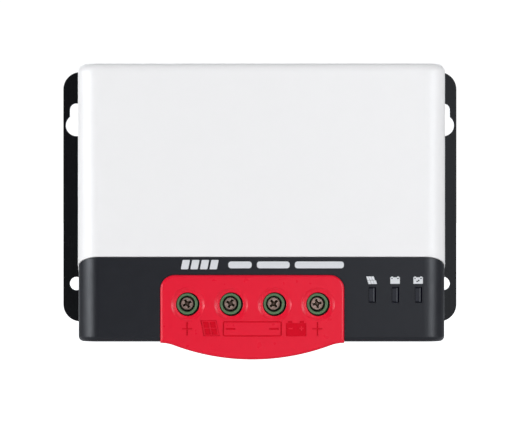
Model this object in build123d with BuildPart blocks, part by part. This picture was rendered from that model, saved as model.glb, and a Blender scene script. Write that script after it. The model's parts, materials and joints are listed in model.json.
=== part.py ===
from build123d import *
import os
from math import copysign, sqrt

os.makedirs("parts", exist_ok=True)

# A wall-mounted solar charge controller, in millimetres. +Z is up. The wall is the plane y = 0 and the object
# stands out from it towards -Y. The origin is the centre of the four wall holes. A "depth" is a distance out
# from the wall, so a face at depth d has y = -d.

# ---------------------------------------------------------------- driving dimensions
WIDTH, HEIGHT, DEPTH = 238.0, 173.5, 72.5  # across the flanges, top to cover tip, wall to cover face

SINK_HEIGHT = 151.0
HOLE_SPACING_X, HOLE_SPACING_Z = 222.0, 105.0  # the four wall holes
HOLE_R = 4.0
ENTRY_R, ENTRY_DROP = 6.5, 9.3  # keyhole: the circle a screw head passes, and how far below the seat it is
FLANGE_T, FLANGE_W, FLANGE_CORNER_R = 3.0, 24.0, 10.4
WEB_T = 3.0
BASE_BACK, BASE_FRONT = 24.0, 30.0  # depths of the heat sink's base plate
FIN_PITCH, FIN_ROOT, FIN_COUNT, FIN_ANGLE = 9.0, 2.6, 19, 88.8

CASE_WIDTH, WALL = 216.0, 2.5
LOWER_WIDTH = 215.2  # the lower shell is stepped in a little on each side
CASE_TOP = 77.8
CASE_BOTTOM = -85.3
CASE_FACE = DEPTH - 1.5
CASE_BACK = BASE_BACK
CASE_SIDE_R, CASE_TOP_R, CASE_BOTTOM_R = 12.5, 5.0, 3.0
CASE_INNER = CASE_FACE - WALL  # depth of the inside of the front wall
FIT = 0.4  # gap round the heat sink's base inside the case

SEAM_Z, SEAM_FALL = -35.5, 0.45  # height of the shells' seam on the front face, and its fall per mm inwards
SEAM_GAP = 0.2
TONGUE = 4.0

COVER_X, COVER_WIDTH = -5.6, 107.6
COVER_TOP, COVER_SIDE_BOTTOM = -46.2, -86.0
COVER_TIP = CASE_TOP - HEIGHT  # lowest point of the cover's apron
COVER_BACK, COVER_EDGE_R = 70.2, 1.7
COVER_CORNER_R, APRON_R, APRON_BLEND_R = 8.4, 131.0, 22.0
RECESS_BACK = 70.0  # floor of the recess that the cover lies in
WINDOW_W, WINDOW_TOP, WINDOW_BOTTOM = 99.7, -49.9, -80.6
DISH_HOLE_R = 6.9
DISH_MIDDLE_R, DISH_SECTION_R, DISH_DEEP = 6.85, 5.3, 0.95  # the hollow ring round each hole in the cover
DISH_SHIFT_X, DISH_SHIFT_Z = 0.4, -0.2  # the cover hangs this far off the terminals' centres

TERMINALS = ("pv_positive", "pv_negative", "battery_negative", "battery_positive")
PITCH = 25.4
SCREW_Z = -63.1  # height of the terminal screws
SCREW_TURN = (28, 62, 40, 12)  # how far each screw's cross recess is turned, in degrees
BLOCK_W, BLOCK_BOTTOM, BLOCK_TOP, BLOCK_FACE = 21.2, -84.9, -51.0, 62.0
COLLAR_R, COLLAR_BORE_R, COLLAR_FACE = 6.25, 4.7, 70.8
WIRE_R, WIRE_DEPTH = 3.9, 46.9  # the conductor's hole and the depth of its axis
HEAD_R, HEAD_BACK, HEAD_FACE = 3.95, 61.6, 65.2
SHANK_R, SHANK_TIP = 2.5, 51.6
CAGE_W, CAGE_H = 11.8, 11.0
CAGE_FLOOR, CAGE_TOP, CAGE_T, CAGE_TOP_T = 42.1, 54.7, 1.5, 2.8
CAGE_TRAVEL = 5.6
POCKET_TOP = 60.5

BOARD_BACK, BOARD_FACE = 38.0, 39.6
BOARD_W, BOARD_TOP, BOARD_BOTTOM = 186.0, 70.0, -80.0

BOSS_X, BOSS_R = 89.0, 4.2
UPPER_BOSSES = [(x, z) for x in (-BOSS_X, BOSS_X) for z in (66.0, 5.0)]
LOWER_BOSSES = [(x, -70.5) for x in (-BOSS_X, BOSS_X)]
STANDOFFS = [(x, z) for x in (-86.0, 86.0) for z in (45.0, -40.0)] + [(0.0, 62.0)]

TRANSISTOR_X = (-65.0, -41.0, -17.0, 17.0, 41.0, 65.0)
TRANSISTOR_Z, TAB_HOLE_Z, LEAD_Z = 36.0, 46.6, 28.0
PAD_T = 0.3

LENS_X = (64.7, 78.2, 91.7)
LENS_Z, LENS_W, LENS_H, LENS_FACE = -57.8, 3.9, 9.1, 71.6
LENS_ROUND, LENS_END_ROUND = 1.6, 0.9  # radii of each lens's right-hand edge and of its two ends
INDICATOR_BACK, INDICATOR_FACE = 58.0, 59.6
INDICATOR_POSTS = [((a + b) / 2, LENS_Z) for a, b in zip(LENS_X, LENS_X[1:])]

JACK_X, JACK_W, JACK_FACE, JACK_TOP = -64.5, 13.2, 52.6, -66.2
SOCKET_X, SOCKET_W, SOCKET_TOP = -78.0, 7.8, -76.2
KEY_X, KEY_DEPTH, KEY_R, KEY_TRAVEL = 62.0, 47.0, 3.0, 0.4
PORT_BOTTOM = -84.9  # the sockets stop just inside the case's lower face


# ---------------------------------------------------------------- helpers
def front(depth):
    """A plane at this depth that faces the viewer: its x is +X and its y is +Z."""
    return Plane.XZ.offset(depth)


def slab(x, z, width, height, back, face, mode=Mode.ADD, corner=0.0):
    """A box centred on (x, z) that runs from depth back out to depth face."""
    with BuildSketch(front(back)) as outline:
        with Locations((x, z)):
            if corner:
                RectangleRounded(width, height, corner)
            else:
                Rectangle(width, height)
    extrude(outline.sketch, amount=face - back, mode=mode)


def rod(points, radius, back, face, mode=Mode.ADD):
    """A round bar at each (x, z) point that runs from depth back out to depth face."""
    with BuildSketch(front(back)) as outline:
        with Locations(*points):
            Circle(radius)
    extrude(outline.sketch, amount=face - back, mode=mode)


def post(x, depth, radius, bottom, top, mode=Mode.ADD):
    """An upright round bar."""
    with BuildSketch(Plane.XY.offset(bottom)) as outline:
        with Locations((x, -depth)):
            Circle(radius)
    extrude(outline.sketch, amount=top - bottom, mode=mode)


def finish(piece, name):
    piece.part.label = name
    export_step(piece.part, f"parts/{name}.step")


def terminal_x(index):
    return COVER_X + (index - 1.5) * PITCH


def seam(lift=0.0):
    """The slanting plane between the shells, raised by lift. It falls towards the wall."""
    return Plane(origin=(0, -CASE_FACE, SEAM_Z + lift), x_dir=(1, 0, 0), z_dir=(0, SEAM_FALL, 1))


def case_outline(inset, back, width):
    """The case seen from above with its front and sides drawn in by inset, out from depth back."""
    face = CASE_FACE - inset
    with BuildSketch() as outline:
        with Locations((0, -(back + face) / 2)):
            Rectangle(width - 2 * inset, face - back)
        fillet(outline.vertices().group_by(Axis.Y)[0], CASE_SIDE_R - inset)
    return outline.sketch


def case_body(inset, back, bottom, top, width=CASE_WIDTH):
    with BuildPart() as body:
        with BuildSketch(Plane.XY.offset(bottom)):
            add(case_outline(inset, back, width))
        extrude(amount=top - bottom)
    return body.part


def seam_band(outer, inner, low, high):
    """A band inside the case wall that follows the seam from low to high, for the shells' tongue."""
    with BuildPart() as band:
        add(case_body(outer, BASE_FRONT + 1, CASE_BOTTOM, CASE_TOP))
        add(case_body(inner, BASE_FRONT, CASE_BOTTOM, CASE_TOP), mode=Mode.SUBTRACT)
        split(bisect_by=seam(low), keep=Keep.TOP)
        split(bisect_by=seam(high), keep=Keep.BOTTOM)
    return band.part


def pan_screw(points, head_r, head_t, shank_r, length, seat, outwards):
    """Pan-head cross-recess screws whose heads bear at depth seat. outwards is 1 if the head is nearer the
    viewer than the shank, and -1 if it is nearer the wall."""
    with BuildPart() as screws:
        rod(points, head_r, seat, seat + outwards * head_t)
        rim = screws.faces().sort_by(Axis.Y)[:: -outwards][-len(points) :].edges()
        fillet(rim, head_t * 0.45)
        rod(points, shank_r, seat - outwards * length, seat)
        recess_floor, recess_end = seat + outwards * head_t * 0.35, seat + outwards * (head_t + 1)
        for width, height in ((head_r * 1.1, head_r * 0.24), (head_r * 0.24, head_r * 1.1)):
            for x, z in points:
                slab(x, z, width, height, recess_floor, recess_end, Mode.SUBTRACT)
    return screws


# ---------------------------------------------------------------- heat sink
with BuildPart() as heat_sink:
    with BuildSketch(Plane.XY.offset(-SINK_HEIGHT / 2)) as profile:
        with Locations((0, -(BASE_BACK + BASE_FRONT) / 2)):
            Rectangle(CASE_WIDTH - 2 * (WALL + FIT), BASE_FRONT - BASE_BACK)
        with Locations((0, -BASE_BACK / 2)):
            with GridLocations(FIN_PITCH, 1, FIN_COUNT, 1):
                Trapezoid(FIN_ROOT, BASE_BACK, FIN_ANGLE)
            with GridLocations(WIDTH - 2 * FLANGE_W + WEB_T, 1, 2, 1):
                Rectangle(WEB_T, BASE_BACK)
        with Locations((0, -FLANGE_T / 2)):
            with GridLocations(WIDTH - FLANGE_W, 1, 2, 1):
                Rectangle(FLANGE_W, FLANGE_T)
    extrude(amount=SINK_HEIGHT)
    corners = heat_sink.edges().filter_by(Axis.Y).filter_by(lambda e: abs(e.center().X) > WIDTH / 2 - 0.1)
    fillet(corners, FLANGE_CORNER_R)
    with BuildSketch(Plane.XZ) as wall_holes:
        with GridLocations(HOLE_SPACING_X, HOLE_SPACING_Z, 2, 2):
            Circle(HOLE_R)
        with Locations((0, HOLE_SPACING_Z / 2 - ENTRY_DROP)):
            with GridLocations(HOLE_SPACING_X, 1, 2, 1):
                Circle(ENTRY_R)
        with Locations((0, (HOLE_SPACING_Z - ENTRY_DROP) / 2)):
            with GridLocations(HOLE_SPACING_X, 1, 2, 1):
                Rectangle(2 * HOLE_R, ENTRY_DROP)
        seat_z = HOLE_SPACING_Z / 2
        fillet(wall_holes.vertices().filter_by(lambda v: seat_z - ENTRY_DROP < v.Y < seat_z - 1), 0.8)
    extrude(amount=FLANGE_T, mode=Mode.SUBTRACT)
    rod(UPPER_BOSSES + LOWER_BOSSES, 1.75, BASE_BACK, BASE_FRONT, Mode.SUBTRACT)
    rod(STANDOFFS, 1.5, BASE_FRONT - 5, BASE_FRONT, Mode.SUBTRACT)
    rod([(x, TAB_HOLE_Z) for x in TRANSISTOR_X], 1.5, BASE_FRONT - 5, BASE_FRONT, Mode.SUBTRACT)
    # a shallow oval earth mark on the left flange
    with BuildSketch(front(FLANGE_T)) as earth_mark:
        with Locations((-WIDTH / 2 + 4, -27.4)):
            SlotOverall(6.6, 3.4, rotation=90)
            SlotOverall(5.0, 1.8, rotation=90, mode=Mode.SUBTRACT)
    extrude(amount=-0.3, mode=Mode.SUBTRACT)
finish(heat_sink, "heat_sink")

# ---------------------------------------------------------------- upper shell
with BuildPart() as upper_shell:
    add(case_body(0, CASE_BACK, CASE_BOTTOM, CASE_TOP))
    split(bisect_by=seam(SEAM_GAP / 2), keep=Keep.TOP)
    fillet(upper_shell.faces().sort_by(Axis.Z)[-1].edges().sort_by(Axis.Y)[:-1], CASE_TOP_R)
    fillet(upper_shell.faces().filter_by(seam()).edges().sort_by(Axis.Y)[:-1], 0.45)
    add(case_body(WALL, CASE_BACK - 1, CASE_BOTTOM, SINK_HEIGHT / 2 + FIT), mode=Mode.SUBTRACT)
    rod(UPPER_BOSSES, BOSS_R, BASE_FRONT, CASE_INNER)
    for x, z in UPPER_BOSSES:  # a rib ties each boss to the side wall
        rib_length = CASE_WIDTH / 2 - WALL / 2 - BOSS_X
        slab(x + copysign(rib_length / 2, x), z, rib_length, 1.8, BASE_FRONT + 2, 62)
    rod(UPPER_BOSSES, 1.65, BASE_FRONT, BASE_FRONT + 16, Mode.SUBTRACT)
finish(upper_shell, "upper_shell")

# ---------------------------------------------------------------- lower shell
with BuildPart() as lower_shell:
    add(case_body(0, CASE_BACK, CASE_BOTTOM, CASE_TOP, LOWER_WIDTH))
    split(bisect_by=seam(-SEAM_GAP / 2), keep=Keep.BOTTOM)
    fillet(lower_shell.faces().sort_by(Axis.Z)[0].edges().sort_by(Axis.Y)[:-1], CASE_BOTTOM_R)
    fillet(lower_shell.faces().filter_by(seam()).edges().sort_by(Axis.Y)[:-1], 0.3)
    add(case_body(WALL, CASE_BACK - 1, -SINK_HEIGHT / 2 - FIT, CASE_TOP), mode=Mode.SUBTRACT)
    add(case_body(WALL, CASE_BACK + WALL, CASE_BOTTOM + WALL, CASE_TOP), mode=Mode.SUBTRACT)
    add(seam_band(WALL + 0.1, WALL + 1.4, -3, TONGUE))
    add(seam_band(WALL - 0.1, WALL + 1.4, -3, -0.3))
    rod(LOWER_BOSSES, BOSS_R, BASE_FRONT, CASE_INNER)
    rod(LOWER_BOSSES, 1.65, BASE_FRONT, BASE_FRONT + 16, Mode.SUBTRACT)
    # the cover's recess, open at the bottom, and the window behind it
    with BuildSketch(front(RECESS_BACK)) as recess:
        with Locations((COVER_X, (COVER_TOP + CASE_BOTTOM) / 2 - 2)):
            Rectangle(COVER_WIDTH + 0.5, COVER_TOP - CASE_BOTTOM + 4.5)
        fillet(recess.vertices().group_by(Axis.Y)[-1], COVER_CORNER_R + 0.25)
    extrude(amount=5, mode=Mode.SUBTRACT)
    slab(COVER_X, (WINDOW_TOP + WINDOW_BOTTOM) / 2, WINDOW_W, WINDOW_TOP - WINDOW_BOTTOM,
         CASE_INNER - 3, CASE_FACE, Mode.SUBTRACT, corner=4)
    for index in range(len(TERMINALS)):  # mouths for the terminal blocks
        slab(terminal_x(index), CASE_BOTTOM, BLOCK_W + 0.6, 8, BOARD_FACE - 0.4, BLOCK_FACE + 0.4,
             Mode.SUBTRACT)
    slab(JACK_X, CASE_BOTTOM, JACK_W + 0.6, 8, BOARD_FACE - 0.4, JACK_FACE + 0.3, Mode.SUBTRACT)
    slab(SOCKET_X, CASE_BOTTOM, SOCKET_W + 0.6, 8, BOARD_FACE, 47.3, Mode.SUBTRACT)
    post(KEY_X, KEY_DEPTH, KEY_R + 0.15, CASE_BOTTOM - 1, CASE_BOTTOM + 4, Mode.SUBTRACT)
    for x in LENS_X:
        slab(x, LENS_Z, LENS_W + 0.2, LENS_H + 0.2, CASE_INNER - 1, CASE_FACE + 1, Mode.SUBTRACT, corner=0.2)
    rod(INDICATOR_POSTS, 2.6, INDICATOR_FACE, CASE_INNER)
    rod(INDICATOR_POSTS, 1.15, INDICATOR_FACE, INDICATOR_FACE + 6, Mode.SUBTRACT)
finish(lower_shell, "lower_shell")

# ---------------------------------------------------------------- terminal cover
APRON_SAG = COVER_SIDE_BOTTOM - COVER_TIP
APRON_HALF = sqrt(APRON_R**2 - (APRON_R - APRON_SAG) ** 2)
SYMBOL_Z, SYMBOL_DEEP, PANEL_LEAN = -77.7, 0.5, 0.2


def cover_outline():
    """The cover's face, centred on x = 0: a panel with round upper corners and a bowed apron below."""
    with BuildSketch() as outline:
        with Locations((0, (COVER_TOP + COVER_SIDE_BOTTOM) / 2)):
            Rectangle(COVER_WIDTH, COVER_TOP - COVER_SIDE_BOTTOM)
        fillet(outline.vertices().group_by(Axis.Y)[-1], COVER_CORNER_R)
        with BuildLine():
            chord = Line((-APRON_HALF, COVER_SIDE_BOTTOM), (APRON_HALF, COVER_SIDE_BOTTOM))
            ThreePointArc(chord @ 0, (0, COVER_TIP), chord @ 1)
        make_face()
        ends = outline.vertices().filter_by(lambda v: abs(abs(v.X) - APRON_HALF) < 0.01)
        fillet(ends, APRON_BLEND_R)
    return outline.sketch


def leaning_box(left, bottom, width, height, mode=Mode.ADD):
    """A parallelogram that leans back to the left, added to the sketch that is open."""
    shift = PANEL_LEAN * height
    with BuildLine() as edge:
        Polyline((left, bottom), (left + width, bottom), (left + width - shift, bottom + height),
                 (left - shift, bottom + height), close=True)
    make_face(edge.edges(), mode=mode)


def cover_symbols():
    """Polarity signs, a panel, a battery and the frame round the two negative poles, centred on x = 0."""
    with BuildSketch() as symbols:
        for x in (-1.5 * PITCH, 1.5 * PITCH):
            with Locations((x, SYMBOL_Z)):
                Rectangle(6.0, 0.8)
                Rectangle(0.8, 8.2)
        with Locations((0, SYMBOL_Z)):
            RectangleRounded(34.6, 9.0, 1.0)
            RectangleRounded(33.0, 7.4, 0.6, mode=Mode.SUBTRACT)
        for x in (-PITCH / 2, PITCH / 2):
            with Locations((x, SYMBOL_Z)):
                Rectangle(5.7, 1.1)
        leaning_box(-28.5, SYMBOL_Z - 4.2, 9.4, 9.2)
        leaning_box(-27.9, SYMBOL_Z - 3.8, 8.4, 8.4, Mode.SUBTRACT)
        for row in range(2):
            for column in range(2):
                left = -27.4 + column * 3.9 - PANEL_LEAN * row * 4.0
                leaning_box(left, SYMBOL_Z - 3.4 + row * 4.0, 3.3, 3.6)
        with Locations((25.6, SYMBOL_Z - 0.5)):
            Rectangle(12.0, 7.8)
        for x in (22.2, 29.0):
            with Locations((x, SYMBOL_Z + 4.0)):
                Rectangle(2.6, 1.3)
        with Locations((22.4, SYMBOL_Z + 0.2)):
            Rectangle(2.4, 0.6, mode=Mode.SUBTRACT)
        with Locations((28.8, SYMBOL_Z + 0.2)):
            Rectangle(2.4, 0.6, mode=Mode.SUBTRACT)
            Rectangle(0.6, 2.4, mode=Mode.SUBTRACT)
    return symbols.sketch


with BuildPart() as terminal_cover:
    with BuildSketch(Plane(origin=(COVER_X, -COVER_BACK, 0), x_dir=(1, 0, 0), z_dir=(0, -1, 0))):
        add(cover_outline())
    extrude(amount=DEPTH - COVER_BACK)
    fillet(terminal_cover.faces().sort_by(Axis.Y)[0].edges(), COVER_EDGE_R)
    # the skirt that locates in the shell's window, with a detent bump on each short side
    skirt_z, skirt_h = (WINDOW_TOP + WINDOW_BOTTOM) / 2, WINDOW_TOP - WINDOW_BOTTOM - 0.6
    with BuildSketch(front(BLOCK_FACE + 1)) as skirt:
        with Locations((COVER_X, skirt_z)):
            RectangleRounded(WINDOW_W - 0.6, skirt_h, 3.7)
            RectangleRounded(WINDOW_W - 3.8, skirt_h - 3.2, 2.1, mode=Mode.SUBTRACT)
    extrude(amount=COVER_BACK - BLOCK_FACE - 1)
    for side in (-1, 1):
        slab(COVER_X + side * (WINDOW_W / 2 - 0.35), skirt_z, 0.5, 8, 66.6, 67.8)
    # a tube behind each hole guides the screwdriver
    centres = [(terminal_x(i) + DISH_SHIFT_X, SCREW_Z + DISH_SHIFT_Z) for i in range(len(TERMINALS))]
    rod(centres, DISH_HOLE_R + 1.3, BLOCK_FACE + 2, COVER_BACK)
    rod(centres, DISH_HOLE_R, BLOCK_FACE, DEPTH, Mode.SUBTRACT)
    with Locations(front(DEPTH - DISH_DEEP + DISH_SECTION_R)):
        with Locations(*centres):
            Torus(DISH_MIDDLE_R, DISH_SECTION_R, mode=Mode.SUBTRACT)
    circles = terminal_cover.edges().filter_by(GeomType.CIRCLE)
    fillet(circles.filter_by(lambda e: e.radius > DISH_HOLE_R + 2 and e.center().Y < 0.01 - DEPTH), 0.25)
    circles = terminal_cover.edges().filter_by(GeomType.CIRCLE).filter_by(lambda e: e.center().Y < -COVER_BACK)
    fillet(circles.filter_by(lambda e: abs(e.radius - DISH_HOLE_R) < 0.01), 0.35)
    with BuildSketch(Plane(origin=(COVER_X, -DEPTH, 0), x_dir=(1, 0, 0), z_dir=(0, -1, 0))):
        add(cover_symbols())
    extrude(amount=-SYMBOL_DEEP, mode=Mode.SUBTRACT)
finish(terminal_cover, "terminal_cover")

# ---------------------------------------------------------------- terminals
for index, name in enumerate(TERMINALS):
    x = terminal_x(index)

    with BuildPart() as block:
        slab(x, (BLOCK_TOP + BLOCK_BOTTOM) / 2, BLOCK_W, BLOCK_TOP - BLOCK_BOTTOM, BOARD_FACE, BLOCK_FACE)
        chamfer(block.faces().sort_by(Axis.Y)[0].edges(), 0.8)
        rod([(x, SCREW_Z)], COLLAR_R, BLOCK_FACE, COLLAR_FACE)
        fillet(block.faces().sort_by(Axis.Y)[0].edges(), 0.35)
        rod([(x, SCREW_Z)], COLLAR_BORE_R, HEAD_BACK - 0.1, COLLAR_FACE, Mode.SUBTRACT)
        chamfer(block.faces().sort_by(Axis.Y)[0].edges().sort_by(SortBy.LENGTH)[0], 0.3)
        # the cage's pocket, the contact bar's slot, the shank's hole and the conductor's hole
        slab(x, SCREW_Z, CAGE_W + 0.6, CAGE_H + 2.6, BOARD_FACE, POCKET_TOP, Mode.SUBTRACT)
        slab(x, SCREW_Z + 7.5, 8.8, 3.0, BOARD_FACE, SHANK_TIP, Mode.SUBTRACT)
        rod([(x, SCREW_Z)], SHANK_R + 0.3, POCKET_TOP - 1, HEAD_BACK, Mode.SUBTRACT)
        post(x, WIRE_DEPTH, WIRE_R, BLOCK_BOTTOM, SCREW_Z, Mode.SUBTRACT)
        mouth = block.faces().sort_by(Axis.Z)[0].edges().filter_by(GeomType.CIRCLE)
        chamfer(mouth, 1.2)
    finish(block, f"{name}_block")

    with BuildPart() as screw:
        rod([(x, SCREW_Z)], HEAD_R, HEAD_BACK, HEAD_FACE)
        fillet(screw.faces().sort_by(Axis.Y)[0].edges(), 0.4)
        rod([(x, SCREW_Z)], SHANK_R, SHANK_TIP, HEAD_BACK)
        chamfer(screw.faces().sort_by(Axis.Y)[-1].edges(), 0.5)
        with BuildSketch(front(HEAD_FACE)) as cross:
            with Locations((x, SCREW_Z)):
                Rectangle(5.4, 1.5, rotation=SCREW_TURN[index])
                Rectangle(1.5, 5.4, rotation=SCREW_TURN[index])
                Circle(1.45)
        extrude(cross.sketch, amount=-2.2, taper=8, mode=Mode.SUBTRACT)
    finish(screw, f"{name}_screw")

    with BuildPart() as cage:
        slab(x, SCREW_Z, CAGE_W, CAGE_H, CAGE_FLOOR, CAGE_TOP)
        fillet(cage.edges().filter_by(Axis.Z), 0.8)
        slab(x, SCREW_Z, CAGE_W - 2 * CAGE_T, CAGE_H + 2, CAGE_FLOOR + CAGE_T, CAGE_TOP - CAGE_TOP_T,
             Mode.SUBTRACT)
        rod([(x, SCREW_Z)], SHANK_R + 0.05, CAGE_TOP - CAGE_TOP_T, CAGE_TOP, Mode.SUBTRACT)
        for z in (-3.6, -1.2, 1.2, 3.6):  # grooves across the floor grip the conductor
            slab(x, SCREW_Z + z, CAGE_W - 2 * CAGE_T, 0.6, CAGE_FLOOR + CAGE_T - 0.3, CAGE_FLOOR + CAGE_T + 1,
                 Mode.SUBTRACT)
    finish(cage, f"{name}_cage")

BAR_W, BAR_T, BAR_FACE = 8.2, 1.2, SHANK_TIP - 0.2
LEG_Z = SCREW_Z + 7.8
with BuildPart() as contact_bars:  # each runs over its cage, then turns back through the board
    for index in range(len(TERMINALS)):
        x = terminal_x(index)
        bottom = SCREW_Z - CAGE_H / 2 - 0.8
        slab(x, (bottom + LEG_Z) / 2, BAR_W, LEG_Z - bottom, BAR_FACE - BAR_T, BAR_FACE)
        slab(x, LEG_Z - BAR_T / 2, BAR_W, BAR_T, BOARD_BACK - 1.2, BAR_FACE)
finish(contact_bars, "contact_bars")

with BuildPart() as bus_bars:
    for index in range(len(TERMINALS)):
        slab(terminal_x(index), -37.5, 8, 25, BOARD_FACE, BOARD_FACE + 1.5, corner=1)
finish(bus_bars, "bus_bars")

# ---------------------------------------------------------------- main board and its fixings
with BuildPart() as main_board:
    slab(0, (BOARD_TOP + BOARD_BOTTOM) / 2, BOARD_W, BOARD_TOP - BOARD_BOTTOM, BOARD_BACK, BOARD_FACE, corner=3)
    rod(UPPER_BOSSES + LOWER_BOSSES, BOSS_R + 1, BOARD_BACK, BOARD_FACE, Mode.SUBTRACT)
    rod(STANDOFFS, 1.7, BOARD_BACK, BOARD_FACE, Mode.SUBTRACT)
    rod([(x, TAB_HOLE_Z) for x in TRANSISTOR_X], 3.6, BOARD_BACK, BOARD_FACE, Mode.SUBTRACT)
    for x in TRANSISTOR_X:
        slab(x, LEAD_Z, 7.4, 1.6, BOARD_BACK, BOARD_FACE, Mode.SUBTRACT)
    for index in range(len(TERMINALS)):
        slab(terminal_x(index), LEG_Z - BAR_T / 2, BAR_W + 0.4, BAR_T + 0.4, BOARD_BACK, BOARD_FACE,
             Mode.SUBTRACT)
finish(main_board, "main_board")

with BuildPart() as board_standoffs:
    with BuildSketch(front(BASE_FRONT)) as hexagons:
        with Locations(*STANDOFFS):
            RegularPolygon(2.75, 6, major_radius=False)
    extrude(amount=BOARD_BACK - BASE_FRONT)
    rod(STANDOFFS, 1.45, BASE_FRONT - 4.6, BASE_FRONT)
    rod(STANDOFFS, 1.5, BASE_FRONT + 2, BOARD_BACK, Mode.SUBTRACT)
finish(board_standoffs, "board_standoffs")
finish(pan_screw(STANDOFFS, 2.8, 2.0, 1.45, 6.6, BOARD_FACE, 1), "board_screws")
finish(pan_screw(UPPER_BOSSES + LOWER_BOSSES, 3.2, 2.4, 1.6, 20, BASE_BACK, -1), "shell_screws")

# ---------------------------------------------------------------- power transistors, clamped under the board
TAB_FACE = BASE_FRONT + PAD_T
with BuildPart() as thermal_pad:
    slab(0, TRANSISTOR_Z + 4, 148, 22, BASE_FRONT, TAB_FACE)
    rod([(x, TAB_HOLE_Z) for x in TRANSISTOR_X], 1.8, BASE_FRONT, TAB_FACE, Mode.SUBTRACT)
finish(thermal_pad, "thermal_pad")

with BuildPart() as transistor_tabs:
    for x in TRANSISTOR_X:
        slab(x, TRANSISTOR_Z + 6.2, 10, 15.6, TAB_FACE, TAB_FACE + 1.3, corner=0.5)
    rod([(x, TAB_HOLE_Z) for x in TRANSISTOR_X], 1.85, TAB_FACE, TAB_FACE + 1.3, Mode.SUBTRACT)
finish(transistor_tabs, "transistor_tabs")

with BuildPart() as transistor_bodies:
    for x in TRANSISTOR_X:
        slab(x, TRANSISTOR_Z + 1.6, 10, 9.2, TAB_FACE + 1.3, TAB_FACE + 4.4)
    chamfer(transistor_bodies.faces().filter_by(Axis.Y).group_by(Axis.Y)[0].edges(), 0.5)
finish(transistor_bodies, "transistor_bodies")

with BuildPart() as transistor_leads:  # three per transistor, bent out through the board
    lead_start = TRANSISTOR_Z - 3
    for x in TRANSISTOR_X:
        for step in (-2.54, 0, 2.54):
            slab(x + step, (lead_start + LEAD_Z - 0.25) / 2, 0.8, lead_start - LEAD_Z + 0.25, 32.3, 32.8)
            slab(x + step, LEAD_Z, 0.8, 0.5, 32.3, BOARD_FACE + 1.3)
finish(transistor_leads, "transistor_leads")
finish(pan_screw([(x, TAB_HOLE_Z) for x in TRANSISTOR_X], 2.8, 2.0, 1.45, 5.6, TAB_FACE + 1.3, 1),
       "transistor_screws")

# ---------------------------------------------------------------- inductors
INDUCTORS = ((-24.0, 2.0), (24.0, 2.0))
CORE_OUT, CORE_IN, CORE_T, WIRE_WOUND_R = 17.5, 9.0, 14.0, 1.05
CORE_MID = BOARD_FACE + 1 + 2.1 + CORE_T / 2
with BuildPart() as inductor_bases:
    rod(INDUCTORS, 20, BOARD_FACE, BOARD_FACE + 1)
finish(inductor_bases, "inductor_bases")

with BuildPart() as inductor_cores:
    rod(INDUCTORS, CORE_OUT, CORE_MID - CORE_T / 2, CORE_MID + CORE_T / 2)
    rod(INDUCTORS, CORE_IN, CORE_MID - CORE_T / 2, CORE_MID + CORE_T / 2, Mode.SUBTRACT)
    chamfer(inductor_cores.edges().filter_by(GeomType.CIRCLE), 0.8)
finish(inductor_cores, "inductor_cores")

with BuildPart() as turn:  # one turn of wire round the core's section, out along +X
    with BuildSketch(Plane.XZ.offset(-WIRE_WOUND_R)) as loop:
        with Locations(((CORE_OUT + CORE_IN) / 2, 0)):
            RectangleRounded(CORE_OUT - CORE_IN + 4.1, CORE_T + 4.1, 2.2)
            RectangleRounded(CORE_OUT - CORE_IN + 0.3, CORE_T + 0.3, 0.3, mode=Mode.SUBTRACT)
    extrude(amount=2 * WIRE_WOUND_R)
    chamfer(turn.faces().filter_by(Axis.Y).edges(), 0.6)
with BuildPart() as inductor_windings:
    for x, z in INDUCTORS:
        with Locations(Plane(origin=(x, -CORE_MID, z), x_dir=(1, 0, 0), z_dir=(0, -1, 0))):
            with PolarLocations(0, 18, start_angle=90):
                add(turn.part)
finish(inductor_windings, "inductor_windings")

# ---------------------------------------------------------------- capacitors and the rest of the board
def can_capacitors(centre_x, radius, height):
    """Four electrolytic capacitors, with the crimp groove near the base and a vented top."""
    points = [(centre_x + i * 9.2, 1.5 + j * 9.2) for i in (-1, 1) for j in (-1, 1)]
    with BuildPart() as cans:
        rod(points, radius, BOARD_FACE, BOARD_FACE + height)
        fillet(cans.faces().filter_by(Axis.Y).group_by(Axis.Y)[0].edges(), 0.9)
        for x, z in points:
            with BuildSketch(front(BOARD_FACE + 2.2)) as groove:
                with Locations((x, z)):
                    Circle(radius + 1)
                    Circle(radius - 0.5, mode=Mode.SUBTRACT)
            extrude(groove.sketch, amount=1.0, mode=Mode.SUBTRACT)
            slab(x, z, 8, 0.4, BOARD_FACE + height - 0.3, BOARD_FACE + height + 1, Mode.SUBTRACT)
            slab(x, z, 0.4, 8, BOARD_FACE + height - 0.3, BOARD_FACE + height + 1, Mode.SUBTRACT)
    return cans


finish(can_capacitors(-65.0, 8.0, 25.0), "input_capacitors")
finish(can_capacitors(65.0, 8.0, 25.0), "output_capacitors")

with BuildPart() as film_capacitors:
    for index in range(3):
        slab(COVER_X + (index - 1) * PITCH, -36, 13, 18, BOARD_FACE, BOARD_FACE + 12, corner=1.5)
finish(film_capacitors, "film_capacitors")

with BuildPart() as fuses:
    for z in (-30.0, -22.5):
        slab(57, z, 19, 5, BOARD_FACE + 1, BOARD_FACE + 14, corner=1)
        for side in (-5.6, 5.6):
            slab(57 + side, z, 5.2, 0.7, BOARD_FACE, BOARD_FACE + 1)
finish(fuses, "fuses")

with BuildPart() as shunt_resistor:
    slab(0, -20, 4, 1.5, BOARD_FACE, BOARD_FACE + 6)
    slab(12, -20, 4, 1.5, BOARD_FACE, BOARD_FACE + 6)
    slab(6, -20, 16, 1.5, BOARD_FACE + 4.5, BOARD_FACE + 6)
finish(shunt_resistor, "shunt_resistor")

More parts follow.
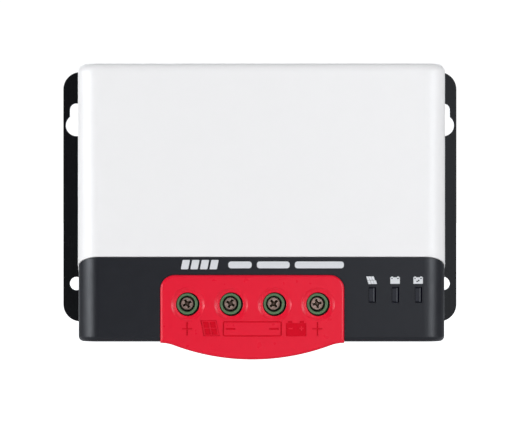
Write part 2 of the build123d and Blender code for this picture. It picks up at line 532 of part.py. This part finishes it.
with BuildPart() as microcontroller:
    slab(-70, -36, 10, 10, BOARD_FACE + 0.2, BOARD_FACE + 1.6)
    with Locations(front(BOARD_FACE)):
        with Locations((-70, -36)):
            with GridLocations(11, 0.8, 2, 12):
                Box(1.2, 0.3, 0.5, align=(Align.CENTER, Align.CENTER, Align.MIN))
            with GridLocations(0.8, 11, 12, 2):
                Box(0.3, 1.2, 0.5, align=(Align.CENTER, Align.CENTER, Align.MIN))
finish(microcontroller, "microcontroller")

with BuildPart() as driver_chips:
    for x in (-41.0, 0.0, 41.0):
        slab(x, 58 if x else 40, 5, 4, BOARD_FACE + 0.2, BOARD_FACE + 1.7)
        with Locations(front(BOARD_FACE)):
            with Locations((x, 58 if x else 40)):
                with GridLocations(1.27, 4.6, 4, 2):
                    Box(0.4, 1.2, 0.5, align=(Align.CENTER, Align.CENTER, Align.MIN))
finish(driver_chips, "driver_chips")

# ---------------------------------------------------------------- indicators
for x, name in zip(LENS_X, ("pv", "battery", "battery_type")):
    with BuildPart() as light_pipe:
        slab(x, LENS_Z, LENS_W, LENS_H, INDICATOR_FACE + 1.9, LENS_FACE)
        fillet(light_pipe.edges().filter_by(Axis.Z).group_by(Axis.Y)[0].sort_by(Axis.X)[-1], LENS_ROUND)
        with BuildSketch(Plane.YZ.offset(x - LENS_W)) as side_view:
            with Locations((-LENS_FACE / 2, LENS_Z)):
                Rectangle(LENS_FACE, LENS_H)
            fillet(side_view.vertices().group_by(Axis.X)[0], LENS_END_ROUND)
        extrude(side_view.sketch, amount=2 * LENS_W, mode=Mode.INTERSECT)
        slab(x, LENS_Z, LENS_W + 2.2, LENS_H + 2.2, CASE_INNER - 1.1, CASE_INNER - 0.1)
    finish(light_pipe, f"{name}_light_pipe")

with BuildPart() as indicator_board:
    slab(LENS_X[1], LENS_Z, 40, 14, INDICATOR_BACK, INDICATOR_FACE, corner=1)
    rod(INDICATOR_POSTS, 1.3, INDICATOR_BACK, INDICATOR_FACE, Mode.SUBTRACT)
finish(indicator_board, "indicator_board")

with BuildPart() as indicator_leds:
    for x in LENS_X:
        slab(x, LENS_Z, 2.8, 3.5, INDICATOR_FACE, INDICATOR_FACE + 1.5)
finish(indicator_leds, "indicator_leds")
finish(pan_screw(INDICATOR_POSTS, 2.2, 1.6, 1.1, 6, INDICATOR_BACK, -1), "indicator_screws")

RIBBON_X, RIBBON_W, RIBBON_T = LENS_X[1], 6.4, 0.9
with BuildPart() as ribbon_sockets:
    slab(RIBBON_X, LENS_Z, 9, 5, INDICATOR_BACK - 5, INDICATOR_BACK)
    slab(RIBBON_X, -40, 9, 5, BOARD_FACE, BOARD_FACE + 5)
finish(ribbon_sockets, "ribbon_sockets")

with BuildPart() as ribbon_cable:
    start, end = (-(INDICATOR_BACK - 5), LENS_Z), (-(BOARD_FACE + 5), -40)
    with BuildLine(Plane.YZ.offset(RIBBON_X)) as run:
        Bezier(start, (start[0] + 7, start[1]), (end[0] - 7, end[1]), end)
    with BuildSketch(Plane(origin=run.line @ 0, x_dir=(1, 0, 0), z_dir=run.line % 0)):
        Rectangle(RIBBON_W, RIBBON_T)
    sweep()
finish(ribbon_cable, "ribbon_cable")

# ---------------------------------------------------------------- ports and key on the lower face
JACK_MID = (BOARD_FACE + JACK_FACE) / 2
with BuildPart() as data_socket:  # six-way modular socket, open downwards
    slab(JACK_X, (PORT_BOTTOM + JACK_TOP) / 2, JACK_W, JACK_TOP - PORT_BOTTOM, BOARD_FACE, JACK_FACE)
    slab(JACK_X, PORT_BOTTOM + 6, 9.8, 12.2, JACK_MID - 3.4, JACK_MID + 3.5, Mode.SUBTRACT)
    slab(JACK_X, PORT_BOTTOM + 4, 6.2, 8.2, JACK_MID + 3.4, JACK_MID + 4.9, Mode.SUBTRACT)
    slab(JACK_X, PORT_BOTTOM + 4, 3.4, 8.2, JACK_MID + 4.8, JACK_MID + 5.6, Mode.SUBTRACT)
finish(data_socket, "data_socket")

with BuildPart() as data_contacts:
    for step in range(6):
        slab(JACK_X + (step - 2.5) * 1.02, PORT_BOTTOM + 8.5, 0.45, 7.2, JACK_MID - 3.4, JACK_MID - 2.0)
finish(data_contacts, "data_contacts")

with BuildPart() as sensor_socket:
    slab(SOCKET_X, (PORT_BOTTOM + SOCKET_TOP) / 2, SOCKET_W, SOCKET_TOP - PORT_BOTTOM, BOARD_FACE, 46.9)
    slab(SOCKET_X, PORT_BOTTOM + 3, SOCKET_W - 1.8, 6.2, 41.2, 45.9, Mode.SUBTRACT)
    slab(SOCKET_X, PORT_BOTTOM + 3, 2.2, 6.2, 45.8, 47.9, Mode.SUBTRACT)
finish(sensor_socket, "sensor_socket")

with BuildPart() as sensor_pins:
    for side in (-1.25, 1.25):
        slab(SOCKET_X + side, PORT_BOTTOM + 3.5, 0.64, 4.8, 43.2, 43.84)
finish(sensor_pins, "sensor_pins")

with BuildPart() as type_key:
    post(KEY_X, KEY_DEPTH, KEY_R, CASE_BOTTOM + 0.3, -78.6)
    chamfer(type_key.faces().sort_by(Axis.Z)[0].edges(), 0.5)
    post(KEY_X, KEY_DEPTH, KEY_R + 0.9, CASE_BOTTOM + WALL + 0.15, CASE_BOTTOM + WALL + 1.15)
finish(type_key, "type_key")

with BuildPart() as key_switch:
    slab(KEY_X, -73.4, 7.2, 3.6, BOARD_FACE, KEY_DEPTH + 3.2)
    post(KEY_X, KEY_DEPTH, 1.8, -76, -72.6, Mode.SUBTRACT)
finish(key_switch, "key_switch")

with BuildPart() as key_plunger:
    post(KEY_X, KEY_DEPTH, 1.7, -78.6, -73.5)
finish(key_plunger, "key_plunger")
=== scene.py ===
import json
import math

import bmesh
import bpy
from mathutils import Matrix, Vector

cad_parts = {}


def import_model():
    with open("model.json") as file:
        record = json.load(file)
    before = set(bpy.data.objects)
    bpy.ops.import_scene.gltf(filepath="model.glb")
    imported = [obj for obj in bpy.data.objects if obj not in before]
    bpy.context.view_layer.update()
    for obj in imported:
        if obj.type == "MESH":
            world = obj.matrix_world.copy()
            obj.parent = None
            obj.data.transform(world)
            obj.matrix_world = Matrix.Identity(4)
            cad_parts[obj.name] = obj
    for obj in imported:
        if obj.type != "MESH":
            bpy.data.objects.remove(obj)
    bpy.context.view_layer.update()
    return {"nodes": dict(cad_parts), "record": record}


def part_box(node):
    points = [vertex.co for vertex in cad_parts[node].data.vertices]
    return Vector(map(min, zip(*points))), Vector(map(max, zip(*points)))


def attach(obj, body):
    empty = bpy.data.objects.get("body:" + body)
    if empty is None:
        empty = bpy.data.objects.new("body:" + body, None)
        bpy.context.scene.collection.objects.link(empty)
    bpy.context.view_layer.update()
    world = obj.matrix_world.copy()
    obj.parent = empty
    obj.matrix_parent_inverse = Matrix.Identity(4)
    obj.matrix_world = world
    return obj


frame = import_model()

# Looks for a wall-mounted solar charge controller. Metres, +Z up, the wall is y = 0 and the front faces -Y.
MM = 0.001
NODES = frame["nodes"]
SCENE = bpy.context.scene


def centre(node):
    low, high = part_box(node)
    return (low + high) / 2


# ---------------------------------------------------------------- materials
# sockets of a Mix node that is set to colours
MIX_FIRST, MIX_SECOND, MIX_RESULT = 6, 7, 2


class Shader:
    """A Principled material built up from procedural textures in object space."""

    def __init__(self, name, colour, roughness, metallic=0.0, specular=0.5, coat=0.0, coat_roughness=0.1):
        self.material = bpy.data.materials.new(name)
        self.material.use_nodes = True
        self.nodes = self.material.node_tree.nodes
        self.links = self.material.node_tree.links
        self.bsdf = self.nodes["Principled BSDF"]
        self.bsdf.inputs["Metallic"].default_value = metallic
        self.bsdf.inputs["Specular IOR Level"].default_value = specular
        self.bsdf.inputs["Coat Weight"].default_value = coat
        self.bsdf.inputs["Coat Roughness"].default_value = coat_roughness
        self.coordinates = self.nodes.new("ShaderNodeTexCoord").outputs["Object"]
        self.colour = self.value_node("ShaderNodeRGB", (*colour, 1.0))
        self.roughness = self.value_node("ShaderNodeValue", roughness)
        self.normal = None

    def value_node(self, kind, value):
        node = self.nodes.new(kind)
        node.outputs[0].default_value = value
        return node.outputs[0]

    def stretched(self, stretch):
        """Object coordinates scaled by stretch, so noise can run along one direction."""
        node = self.nodes.new("ShaderNodeMapping")
        node.inputs["Scale"].default_value = stretch
        self.links.new(self.coordinates, node.inputs["Vector"])
        return node.outputs[0]

    def noise(self, size_mm, detail=2.0, stretch=(1, 1, 1)):
        node = self.nodes.new("ShaderNodeTexNoise")
        node.inputs["Scale"].default_value = 1 / (size_mm * MM)
        node.inputs["Detail"].default_value = detail
        self.links.new(self.stretched(stretch), node.inputs["Vector"])
        return node.outputs["Fac"]

    def cells(self, size_mm):
        node = self.nodes.new("ShaderNodeTexVoronoi")
        node.feature = "SMOOTH_F1"
        node.inputs["Scale"].default_value = 1 / (size_mm * MM)
        self.links.new(self.coordinates, node.inputs["Vector"])
        return node.outputs["Distance"]

    def ramp(self, source, low, high, out_low, out_high):
        node = self.nodes.new("ShaderNodeMapRange")
        for key, value in zip(("From Min", "From Max", "To Min", "To Max"), (low, high, out_low, out_high)):
            node.inputs[key].default_value = value
        self.links.new(source, node.inputs["Value"])
        return node.outputs["Result"]

    def blend(self, factor, other):
        """Mixes the colour towards other by factor."""
        node = self.nodes.new("ShaderNodeMix")
        node.data_type = "RGBA"
        self.links.new(factor, node.inputs["Factor"])
        self.links.new(self.colour, node.inputs[MIX_FIRST])
        node.inputs[MIX_SECOND].default_value = (*other, 1.0)
        self.colour = node.outputs[MIX_RESULT]
        return self

    def tint(self, source, amount, other):
        """Mixes the colour towards other by amount where source is high."""
        return self.blend(self.ramp(source, 0.35, 0.7, 0.0, amount), other)

    def vary_roughness(self, source, spread):
        node = self.nodes.new("ShaderNodeMath")
        node.operation = "ADD"
        self.links.new(self.roughness, node.inputs[0])
        self.links.new(self.ramp(source, 0.3, 0.7, -spread, spread), node.inputs[1])
        self.roughness = node.outputs[0]
        return self

    def bump(self, source, height_mm):
        node = self.nodes.new("ShaderNodeBump")
        node.inputs["Distance"].default_value = height_mm * MM
        node.inputs["Strength"].default_value = 1.0
        self.links.new(source, node.inputs["Height"])
        if self.normal:
            self.links.new(self.normal, node.inputs["Normal"])
        self.normal = node.outputs[0]
        return self

    def painted_edge_highlight(self, amount, other, width_mm=0.3):
        """Painted highlight: lightens the colour in a narrow band along the edges, where a rounded edge
        catches the light.
        """
        rounded_off = self.nodes.new("ShaderNodeBevel")
        rounded_off.samples = 4
        rounded_off.inputs["Radius"].default_value = width_mm * MM
        alike = self.nodes.new("ShaderNodeVectorMath")
        alike.operation = "DOT_PRODUCT"
        self.links.new(rounded_off.outputs["Normal"], alike.inputs[0])
        self.links.new(self.nodes.new("ShaderNodeNewGeometry").outputs["Normal"], alike.inputs[1])
        return self.blend(self.ramp(alike.outputs["Value"], 0.8, 0.98, amount, 0.0), other)

    def painted_recess_shade(self, other, reach_mm=2.2):
        """Painted shade: darkens the colour in narrow recesses, where shade falls."""
        hollow = self.nodes.new("ShaderNodeAmbientOcclusion")
        hollow.samples = 8
        hollow.inputs["Distance"].default_value = reach_mm * MM
        return self.blend(self.ramp(hollow.outputs["AO"], 0.62, 0.94, 1.0, 0.0), other)

    def done(self):
        self.links.new(self.colour, self.bsdf.inputs["Base Color"])
        self.links.new(self.roughness, self.bsdf.inputs["Roughness"])
        if self.normal:
            self.links.new(self.normal, self.bsdf.inputs["Normal"])
        return self.material


def moulded(name, colour, roughness, grain_mm=0.35, grain_height=0.006, mottle=0.05, specular=0.5):
    """Injection-moulded plastic: a fine spark-eroded grain, slight mottling and softly varying gloss."""
    shader = Shader(name, colour, roughness, specular=specular)
    darker = tuple(c * 0.8 for c in colour)
    shader.tint(shader.noise(14, detail=4), mottle, darker)
    shader.vary_roughness(shader.noise(6, detail=3), 0.03)
    shader.bump(shader.cells(grain_mm), grain_height)
    return shader


def plated(name, colour, roughness, scratch_stretch=(1, 1, 1), tarnish=(0.3, 0.22, 0.16), amount=0.35):
    """Plated metal: tarnish in patches and fine scratches."""
    shader = Shader(name, colour, roughness, metallic=1.0)
    shader.tint(shader.noise(1.6, detail=4), amount, tarnish)
    shader.vary_roughness(shader.noise(0.5, detail=3, stretch=scratch_stretch), 0.1)
    shader.bump(shader.noise(0.12, detail=2, stretch=scratch_stretch), 0.004)
    return shader


WHITE = moulded("white_plastic", (0.89, 0.852, 0.815), 0.36, mottle=0.03, grain_height=0.004).done()
BLACK = moulded("black_plastic", (0.0064, 0.0066, 0.0098), 0.34, grain_height=0.005, specular=0.40).done()
RED = moulded("red_plastic", (0.80, 0.0040, 0.026), 0.30, grain_height=0.0015, mottle=0.0, specular=0.32)
RED = RED.done()
GREEN = moulded("green_plastic", (0.088, 0.175, 0.075), 0.42, grain_mm=0.25, mottle=0.25).done()
SOCKET = moulded("socket_plastic", (0.02, 0.02, 0.022), 0.4).done()
KEY = moulded("key_plastic", (0.06, 0.06, 0.066), 0.5).done()
EPOXY = moulded("black_component", (0.014, 0.014, 0.015), 0.55, grain_mm=0.15, grain_height=0.01).done()
RIBBON = moulded("ribbon_plastic", (0.3, 0.31, 0.33), 0.45).done()
FUSE = moulded("fuse_plastic", (0.04, 0.25, 0.08), 0.2, grain_height=0.001).done()
FILM = moulded("film_capacitor", (0.42, 0.28, 0.02), 0.25, grain_height=0.001).done()
LED_BODY = moulded("led_body", (0.75, 0.74, 0.66), 0.5).done()
SLEEVE = moulded("capacitor_sleeve", (0.008, 0.012, 0.04), 0.25, grain_height=0.002).done()

# screw steel: yellowish zinc plating with a pink tint that is painted reflection of the red cover round the
# heads; lighter edges are a painted highlight, and the darker cross recess is painted shade
STEEL = plated("zinc_steel", (0.58, 0.40, 0.34), 0.30, tarnish=(0.26, 0.16, 0.11), amount=0.6)
STEEL = STEEL.painted_edge_highlight(0.7, (0.92, 0.72, 0.64)).painted_recess_shade((0.03, 0.018, 0.01)).done()
TIN = plated("tinned_steel", (0.62, 0.61, 0.59), 0.3, amount=0.15).done()
TINNED_COPPER = plated("tinned_copper", (0.66, 0.60, 0.52), 0.35, scratch_stretch=(1, 1, 0.1)).done()
GOLD = plated("gold_contact", (0.80, 0.56, 0.18), 0.2, amount=0.1).done()


def anodised():
    """Black anodised extrusion: die lines along Z and a faint bluish sheen."""
    shader = Shader("black_anodised", (0.0022, 0.0023, 0.0034), 0.22, specular=0.26)
    die_lines = shader.noise(0.35, detail=3, stretch=(1, 1, 0.008))
    shader.tint(shader.noise(25, detail=5), 0.35, (0.003, 0.0032, 0.0046))
    shader.tint(die_lines, 0.3, (0.0036, 0.004, 0.0056))
    shader.vary_roughness(die_lines, 0.05)
    shader.bump(die_lines, 0.003)
    shader.bump(shader.noise(0.08, detail=1), 0.002)
    # painted highlight: the edges are lightened in colour, as rounded edges would catch the light
    return shader.painted_edge_highlight(0.12, (0.2, 0.2, 0.21)).done()


def circuit_board():
    """Green solder mask over a woven glass laminate."""
    shader = Shader("circuit_board", (0.008, 0.085, 0.028), 0.3, coat=0.4, coat_roughness=0.15)
    for direction in ("X", "Z"):
        weave = shader.nodes.new("ShaderNodeTexWave")
        weave.bands_direction = direction
        weave.inputs["Scale"].default_value = 300
        shader.links.new(shader.coordinates, weave.inputs["Vector"])
        shader.bump(weave.outputs["Fac"], 0.008)
    shader.tint(shader.noise(5, detail=3), 0.5, (0.012, 0.13, 0.045))
    return shader.done()


def powder_core():
    shader = Shader("powder_core", (0.58, 0.44, 0.03), 0.45)
    shader.bump(shader.noise(0.3, detail=4), 0.05)
    shader.tint(shader.noise(2, detail=3), 0.3, (0.45, 0.33, 0.02))
    return shader.done()


def enamelled_wire():
    shader = Shader("enamelled_copper", (0.62, 0.20, 0.06), 0.22, metallic=1.0, coat=0.6)
    shader.tint(shader.noise(1.5, detail=3), 0.4, (0.42, 0.10, 0.03))
    shader.bump(shader.noise(0.3, detail=2), 0.01)
    return shader.done()


def silicone():
    shader = Shader("silicone_pad", (0.42, 0.44, 0.47), 0.75)
    shader.bump(shader.noise(0.4, detail=4), 0.04)
    shader.tint(shader.noise(3, detail=3), 0.3, (0.34, 0.36, 0.4))
    return shader.done()


def smoked_lens():
    """Dark clear moulding: a glossy surface with faint flow lines over a nearly black body."""
    shader = Shader("smoked_lens", (0.0015, 0.0015, 0.006), 0.06, specular=0.27)
    shader.tint(shader.noise(1.2, detail=3, stretch=(1, 1, 0.3)), 0.5, (0.003, 0.003, 0.01))
    shader.bump(shader.noise(1.5, detail=1), 0.01)
    return shader.done()


def ink():
    """Light grey screen print, slightly uneven where the ink is thin."""
    shader = Shader("print_ink", (0.72, 0.71, 0.70), 0.5)
    shader.tint(shader.noise(0.3, detail=4), 0.25, (0.4, 0.41, 0.42))
    shader.bump(shader.noise(0.15, detail=2), 0.004)
    return shader.done()


ANODISED, BOARD, CORE, WIRE = anodised(), circuit_board(), powder_core(), enamelled_wire()
PAD, LENS, INK = silicone(), smoked_lens(), ink()

FINISH = {
    "white_plastic": WHITE, "black_plastic": BLACK, "red_plastic": RED, "green_plastic": GREEN,
    "black_anodised": ANODISED, "zinc_steel": STEEL, "tinned_copper": TINNED_COPPER,
    "enamelled_copper": WIRE, "circuit_board": BOARD, "black_component": EPOXY, "capacitor_sleeve": SLEEVE,
    "film_capacitor": FILM, "powder_core": CORE, "fuse_plastic": FUSE, "tinned_steel": TIN,
    "gold_contact": GOLD, "smoked_lens": LENS, "led_body": LED_BODY, "silicone_pad": PAD,
    "ribbon_plastic": RIBBON, "socket_plastic": SOCKET, "key_plastic": KEY,
}
for part in frame["record"]["subparts"]:
    node = NODES[part["node"]]
    for place in range(len(node.material_slots)):
        node.material_slots[place].material = FINISH[part["material_slot"]]


# ---------------------------------------------------------------- printed marks
def piece(name, mesh, material, body):
    mesh.materials.append(material)
    obj = bpy.data.objects.new(name, mesh)
    SCENE.collection.objects.link(obj)
    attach(obj, body)
    return obj


CORNER_STEPS = 5  # straight pieces in each rounded corner
SHEET_THICKNESS, SHEET_OVERLAP = 0.06, 0.02  # millimetres out of the face, and back into it


def rounded(x0, z0, x1, z1, radius, lean=0.0):
    """Outline of a rounded rectangle in millimetres; lean shifts its top sideways per mm of height."""
    points = []
    corners = ((x1 - radius, z0 + radius, -90), (x1 - radius, z1 - radius, 0),
               (x0 + radius, z1 - radius, 90), (x0 + radius, z0 + radius, 180))
    for cx, cz, start in corners:
        for step in range(CORNER_STEPS + 1):
            angle = math.radians(start + 90 * step / CORNER_STEPS)
            x, z = cx + radius * math.cos(angle), cz + radius * math.sin(angle)
            points.append((x + lean * (z - z0), z))
    return points


def flat_print_or_shade(name, outlines, face_y, material, body):
    """A flat sheet standing out of a front face at y = face_y, from closed outlines in millimetres: real
    print, and painted shade where it fills the cover's sunken symbols.
    """
    mesh = bpy.data.meshes.new(name)
    build = bmesh.new()
    for outline in outlines:
        back = [build.verts.new((x * MM, face_y + SHEET_OVERLAP * MM, z * MM)) for x, z in outline]
        face = [build.verts.new((x * MM, face_y - SHEET_THICKNESS * MM, z * MM)) for x, z in outline]
        build.faces.new(face)
        build.faces.new(list(reversed(back)))
        for i in range(len(outline)):
            j = (i + 1) % len(outline)
            build.faces.new((face[j], face[i], back[i], back[j]))
    bmesh.ops.recalc_face_normals(build, faces=build.faces)
    build.to_mesh(mesh)
    build.free()
    return piece(name, mesh, material, body)


CASE_FACE_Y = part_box("lower_shell")[0].y
ICON_RISE, ICON_SHIFT = 8.6, -0.25  # from a lens's centre to its icon's, in millimetres


def title_marks():
    """Four leaning bars and three plain bars in the place where a name would go."""
    bars = []
    low, high = -42.9, -37.4
    first, pitch, width = -47.4, 5.6, 4.3
    for step in range(4):
        left = first + step * pitch
        bars.append(rounded(left, low, left + width, high, 0.5, lean=0.2))
    for x0, x1 in ((-19.6, -5.9), (-2.9, 16.3), (19.3, 48.0)):
        bars.append(rounded(x0, low + 0.6, x1, high - 0.9, 1.6))
    return bars


flat_print_or_shade("title_print", title_marks(), CASE_FACE_Y, INK, "housing")


def battery_mark(x, z, flash=False):
    """A battery seen from the front: case, two posts, and polarity marks left clear."""
    half, low, band, top = 2.78, -2.15, 0.2, 1.65
    parts = [rounded(x - 2.3, z + top, x - 1.2, z + top + 0.45, 0.1),
             rounded(x + 1.2, z + top, x + 2.3, z + top + 0.45, 0.1)]
    # the upper band is pieced together round the gaps of the polarity marks
    for x0, x1 in ((-half, -2.25), (-1.45, 1.15), (2.15, half)):
        parts.append(rounded(x + x0, z + band, x + x1, z + top, 0.04))
    for x0, x1 in ((-2.25, -1.45), (1.15, 2.15)):
        parts.append(rounded(x + x0, z + 1.2, x + x1, z + top, 0.04))
        parts.append(rounded(x + x0, z + band, x + x1, z + 0.65, 0.04))
    if flash:  # a stepped gap in the case stands for the choice of battery type
        for x0, x1, z0 in ((-half, -1.0, low), (-1.0, -0.1, -0.4), (0.75, half, low)):
            parts.append(rounded(x + x0, z + z0, x + x1, z + band, 0.04))
        parts.append(rounded(x - 1.0, z + low, x - 0.1, z - 1.1, 0.04))
        parts.append(rounded(x - 0.1, z + low, x + 0.75, z - 0.7, 0.04))
    else:
        parts.append(rounded(x - half, z + low, x + half, z + band, 0.12))
    return parts


def battery_type_mark(x, z):
    return battery_mark(x, z, flash=True)


def panel_mark(x, z):
    """A solar panel of 3 by 2 cells that leans back to the left and widens downwards."""
    parts = []
    lean, left, low, row_height, cell_height, gap = -0.32, -2.0, -2.3, 2.3, 2.15, 0.12
    for row in range(2):
        for column in range(3):
            pitch = 1.7 - 0.18 * row
            x0 = x + left + column * pitch + lean * row * row_height
            z0 = z + low + row * row_height
            parts.append(rounded(x0, z0, x0 + pitch - gap, z0 + cell_height, 0.12, lean=lean))
    return parts


ICON_Z = centre("pv_light_pipe").z / MM + ICON_RISE
for lens, draw in (("pv", panel_mark), ("battery", battery_mark), ("battery_type", battery_type_mark)):
    icon = draw(centre(f"{lens}_light_pipe").x / MM + ICON_SHIFT, ICON_Z)
    flat_print_or_shade(f"{lens}_print", icon, CASE_FACE_Y, INK, "housing")


# ---------------------------------------------------------------- painted shade in the cover's sunken symbols
SYMBOL_DEPTH, SYMBOL_DROP = 0.5, 31.5  # millimetres below the cover's face, and below its top
SYMBOL_FLOOR_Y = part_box("terminal_cover")[0].y + SYMBOL_DEPTH * MM
COVER_X = centre("terminal_cover").x / MM
SYMBOL_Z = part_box("terminal_cover")[1].z / MM - SYMBOL_DROP
OUTER_POLE, INNER_POLE = 38.1, 12.7  # millimetres from the cover's middle
LINE = 0.7  # width of a sunken line


def bar(x, z, width, height):
    return rounded(x - width / 2, z - height / 2, x + width / 2, z + height / 2, min(width, height) * 0.1)


def polarity_marks():
    """Plus signs below the outer poles, and a frame round two minus signs below the inner poles."""
    marks = []
    for side in (-1, 1):
        x = COVER_X + side * OUTER_POLE
        marks.append(bar(x, SYMBOL_Z, 5.9, LINE))
        marks += [bar(x, SYMBOL_Z + 2.2, LINE, 3.6), bar(x, SYMBOL_Z - 2.2, LINE, 3.6)]
        marks.append(bar(COVER_X + side * INNER_POLE, SYMBOL_Z, 5.6, 1.0))
        marks.append(bar(COVER_X, SYMBOL_Z + side * 4.1, 33.0, LINE))
        marks.append(bar(COVER_X + side * 16.9, SYMBOL_Z, LINE, 8.0))
    return marks


def cover_panel():
    """A leaning frame with 2 by 2 cells inside it."""
    lean, low, high, left, right, line = -0.2, -4.2, 5.0, -28.5, -19.1, 0.4
    marks = []
    for z0 in (low, high - line):
        shift = COVER_X + lean * (z0 - low)
        marks.append(rounded(shift + left, SYMBOL_Z + z0, shift + right, SYMBOL_Z + z0 + line, 0.02, lean))
    for x in (left, right - line):
        marks.append(rounded(COVER_X + x, SYMBOL_Z + low, COVER_X + x + line, SYMBOL_Z + high, 0.02, lean))
    cell_left, cell_low, column_pitch, row_pitch, cell_width, cell_height = -27.35, -3.35, 3.9, 4.0, 3.2, 3.5
    for row in range(2):
        for column in range(2):
            x = COVER_X + cell_left + column * column_pitch + lean * row * row_pitch
            z = SYMBOL_Z + cell_low + row * row_pitch
            marks.append(rounded(x, z, x + cell_width, z + cell_height, 0.05, lean))
    return marks


def cover_battery():
    """A filled battery case with its two posts; the minus and plus signs in it are left clear."""
    low, high = -4.3, 3.3
    whole, stroke, upright = (), (-0.2, 0.6), (-1.1, 1.5)  # what each column of the case leaves clear
    columns = ((19.7, 21.1, whole), (21.1, 23.7, stroke), (23.7, 27.5, whole), (27.5, 28.4, stroke),
               (28.4, 29.2, upright), (29.2, 30.1, stroke), (30.1, 31.5, whole))
    marks = []
    for x0, x1, clear in columns:
        edges = (low, *clear, high)
        for z0, z1 in zip(edges[::2], edges[1::2]):
            marks.append(rounded(COVER_X + x0, SYMBOL_Z + z0, COVER_X + x1, SYMBOL_Z + z1, 0.02))
    for x in (22.2, 29.0):
        marks.append(bar(COVER_X + x, SYMBOL_Z + 4.0, 2.4, 1.1))
    return marks


# darker red sheets on the floors of the sunken symbols: painted shade that deepens the recesses' own shading
SYMBOL_SHADE = moulded("cover_symbol_painted_shade", (0.66, 0.0006, 0.014), 0.5, grain_height=0.001, mottle=0.0,
                specular=0.1).done()
flat_print_or_shade("polarity_painted_shade", polarity_marks(), SYMBOL_FLOOR_Y, SYMBOL_SHADE, "cover")
flat_print_or_shade("picture_painted_shade", cover_panel() + cover_battery(), SYMBOL_FLOOR_Y, SYMBOL_SHADE, "cover")


# ---------------------------------------------------------------- floor, light and camera
FLOOR_Z, FLOOR_HALF_WIDTH = -0.20, 150
WHITE_LIGHT = (1, 1, 1, 1)
DAYLIGHT = (0.90, 0.943, 1.0)
SURROUND, BACKDROP = 0.235, 1.05  # the world's strength as light, and as the camera sees it
EXPOSURE = 1.045  # scales every softbox
AIM = (0, -0.05, -0.01)


def floor():
    mesh = bpy.data.meshes.new("floor")
    build = bmesh.new()
    bmesh.ops.create_grid(build, x_segments=8, y_segments=8, size=FLOOR_HALF_WIDTH)
    build.to_mesh(mesh)
    build.free()
    obj = bpy.data.objects.new("floor", mesh)
    obj.location = (0, 0, FLOOR_Z)
    SCENE.collection.objects.link(obj)
    shader = Shader("floor_paint", (0.86, 0.86, 0.86), 0.9, specular=0.1)
    shader.bsdf.inputs["Emission Color"].default_value = WHITE_LIGHT
    # to the camera the floor brightens to white away from the object, as paper lit from behind does
    path = shader.nodes.new("ShaderNodeLightPath")
    reach = shader.nodes.new("ShaderNodeVectorMath")
    reach.operation = "LENGTH"
    shader.links.new(shader.coordinates, reach.inputs[0])
    glow = shader.nodes.new("ShaderNodeMath")
    glow.operation = "MULTIPLY"
    shader.links.new(path.outputs["Is Camera Ray"], glow.inputs[0])
    shader.links.new(shader.ramp(reach.outputs["Value"], 0.25, 0.8, 0.35, 1.1), glow.inputs[1])
    shader.links.new(glow.outputs[0], shader.bsdf.inputs["Emission Strength"])
    shader.vary_roughness(shader.noise(60), 0.05)
    mesh.materials.append(shader.done())


def softbox(name, place, size_x, size_y, power):
    data = bpy.data.lights.new(name, "AREA")
    data.shape = "RECTANGLE"
    data.size, data.size_y = size_x, size_y
    data.energy = power * EXPOSURE
    data.color = DAYLIGHT
    obj = bpy.data.objects.new(name, data)
    obj.location = place
    obj.rotation_euler = (Vector(AIM) - Vector(place)).to_track_quat("-Z", "Z").to_euler()
    SCENE.collection.objects.link(obj)


def world():
    """White to the camera, and a dim even surround for light and reflections."""
    made = bpy.data.worlds.new("studio")
    made.use_nodes = True
    SCENE.world = made
    nodes, links = made.node_tree.nodes, made.node_tree.links
    background = nodes["Background"]
    sky = nodes.new("ShaderNodeMix")
    sky.data_type = "RGBA"
    sky.inputs[MIX_FIRST].default_value = (*DAYLIGHT, 1)
    sky.inputs[MIX_SECOND].default_value = WHITE_LIGHT
    seen_directly = nodes.new("ShaderNodeLightPath").outputs["Is Camera Ray"]
    links.new(seen_directly, sky.inputs["Factor"])
    links.new(sky.outputs[MIX_RESULT], background.inputs["Color"])
    strength = nodes.new("ShaderNodeMapRange")
    strength.inputs["To Min"].default_value = SURROUND
    strength.inputs["To Max"].default_value = BACKDROP
    links.new(seen_directly, strength.inputs["Value"])
    links.new(strength.outputs["Result"], background.inputs["Strength"])


def around(azimuth, distance, height):
    """A place at this many degrees to the right of straight in front."""
    angle = math.radians(azimuth)
    return (distance * math.sin(angle), -distance * math.cos(angle), height)


floor()
world()
# upright strips round the front; the outer ones draw the light lines down the case's rounded edges
for name, azimuth, power in (("left_key", -56, 13.5), ("left_rim", -70, 8.0), ("front_fill", 13, 3.6),
                             ("right_fill", 39, 7.5), ("right_key", 51, 10)):
    softbox(name, around(azimuth, 1.6, 0.05), 0.45, 1.8, power)
softbox("top_fill", around(2, 1.2, 1.6), 1.6, 0.9, 2.8)
# these three stand behind the wall's plane and light the top, the sides and the fins
softbox("overhead", (0, 0.25, 1.6), 1.6, 0.6, 2.5)
softbox("back_left", around(195, 1.6, 0.5), 0.9, 1.6, 7)
softbox("back_right", around(172, 1.6, 0.5), 0.9, 1.6, 6)

# a long lens, square to the wall and a little left of the middle
optics = bpy.data.cameras.new("camera")
optics.sensor_width = 36  # millimetres, as is the lens
optics.lens = 229.2
optics.shift_x = 0.1035
camera = bpy.data.objects.new("camera", optics)
camera.location = (-0.033, -2.0, -0.01346)
camera.rotation_euler = (math.radians(90), 0, 0)
SCENE.collection.objects.link(camera)
SCENE.camera = camera
SCENE.view_settings.view_transform = "Standard"
